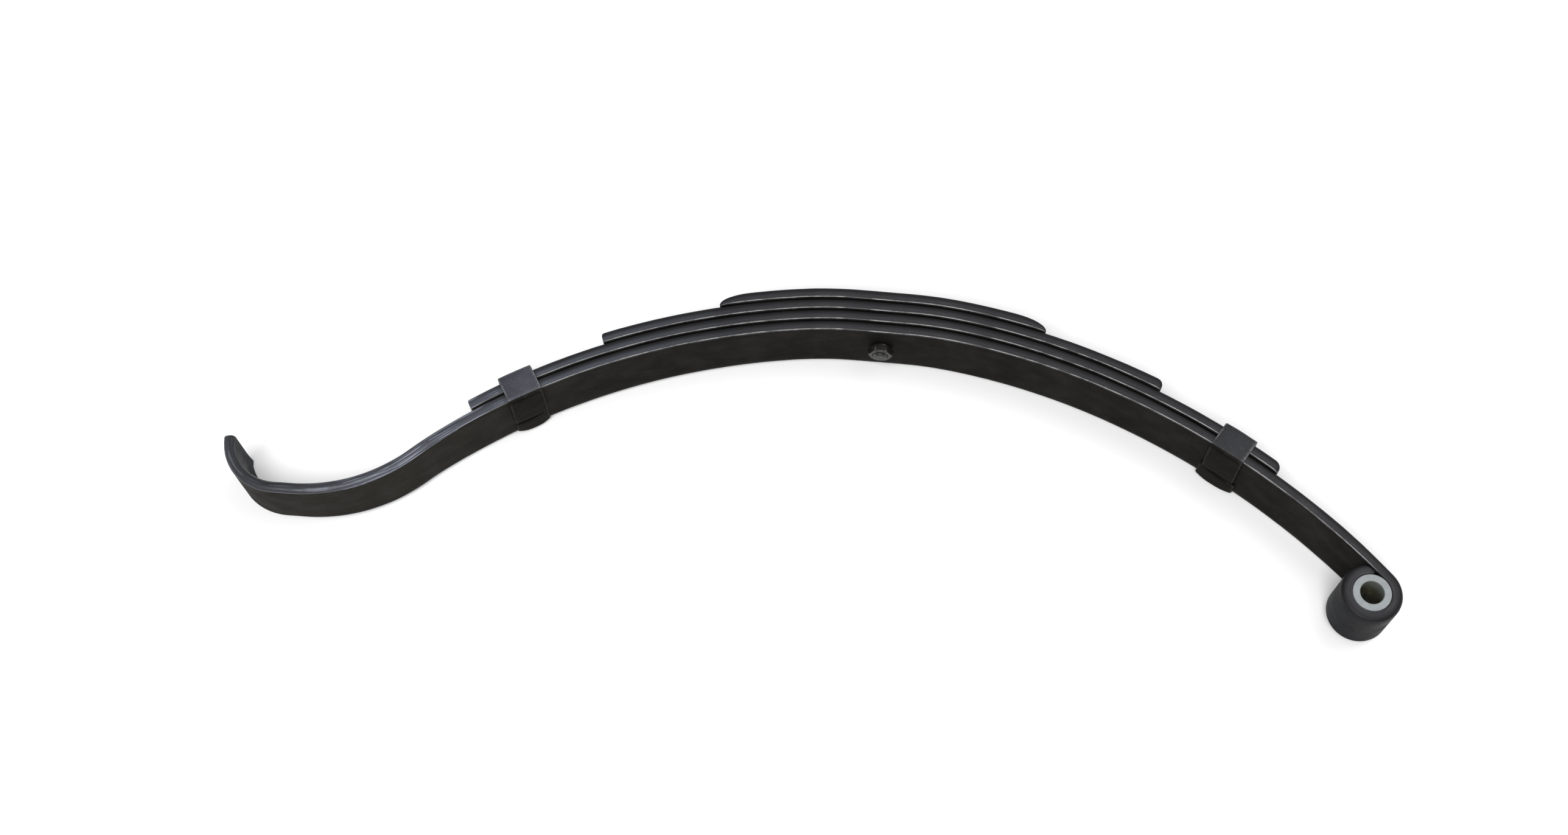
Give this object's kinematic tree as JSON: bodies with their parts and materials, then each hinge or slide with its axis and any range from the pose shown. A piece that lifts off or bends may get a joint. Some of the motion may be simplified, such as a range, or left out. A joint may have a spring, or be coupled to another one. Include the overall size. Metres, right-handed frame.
{
  "type": "trailer leaf spring",
  "caption": "Multi-leaf slipper spring: rolled eye with pale bushing at one end, slipper pad and upturned hook at the other, bolted at the middle and held by riveted clips.",
  "frame": {"origin": "centre of the outer flat of the centre bolt's round head, on the short leaf's side", "axes": "+X along the spring towards the eye, +Y out of the bolt head (convex side), +Z across the leaves; the spring lies on its side"},
  "size_m": [0.7463, 0.2058, 0.0512],
  "materials": {
    "main_leaf": "semi-gloss black over spring steel, worn edges",
    "leaf_2": "semi-gloss black",
    "leaf_3": "semi-gloss black",
    "leaf_4": "semi-gloss black, scuffed",
    "clip": "semi-gloss black",
    "centre_bolt": "black paint over steel",
    "centre_nut": "black paint over steel",
    "rivet": "semi-gloss black",
    "nylon": "pale ivory-grey nylon"
  },
  "bodies": {
    "eye_side": {"main_leaf": "main_leaf", "leaf_2": "leaf_2", "leaf_3": "leaf_3", "leaf_4": "leaf_4", "eye_clip": "clip", "eye_clip_rivet": "rivet"},
    "slipper_side": {"hook_clip": "clip", "hook_clip_rivet": "rivet"},
    "centre": {"centre_bolt": "centre_bolt", "centre_nut": "centre_nut"},
    "bushing": {"eye_bushing": "nylon"}
  },
  "joints": [
    {"name": "pack_flex", "type": "hinge", "parent": "eye_side", "child": "slipper_side", "pos_m": [0, -0.0216, 0], "axis": [0, 0, -1], "range_deg": [0, 20], "stiffness_Nm_per_rad": 3700, "deforming": ["main_leaf", "leaf_2", "leaf_3", "leaf_4"]},
    {"name": "centre_follow", "type": "hinge", "parent": "eye_side", "child": "centre", "pos_m": [0, -0.0216, 0], "axis": [0, 0, -1], "range_deg": [0, 10], "deforming": ["main_leaf", "leaf_2", "leaf_3", "leaf_4"]},
    {"name": "bushing_turn", "type": "hinge", "parent": "eye_side", "child": "bushing", "pos_m": [0.31296, -0.18675, 0], "axis": [0, 0, 1], "continuous": true}
  ],
  "couplings": [
    {"joint": "centre_follow", "follows": "pack_flex", "ratio": 0.5}
  ]
}
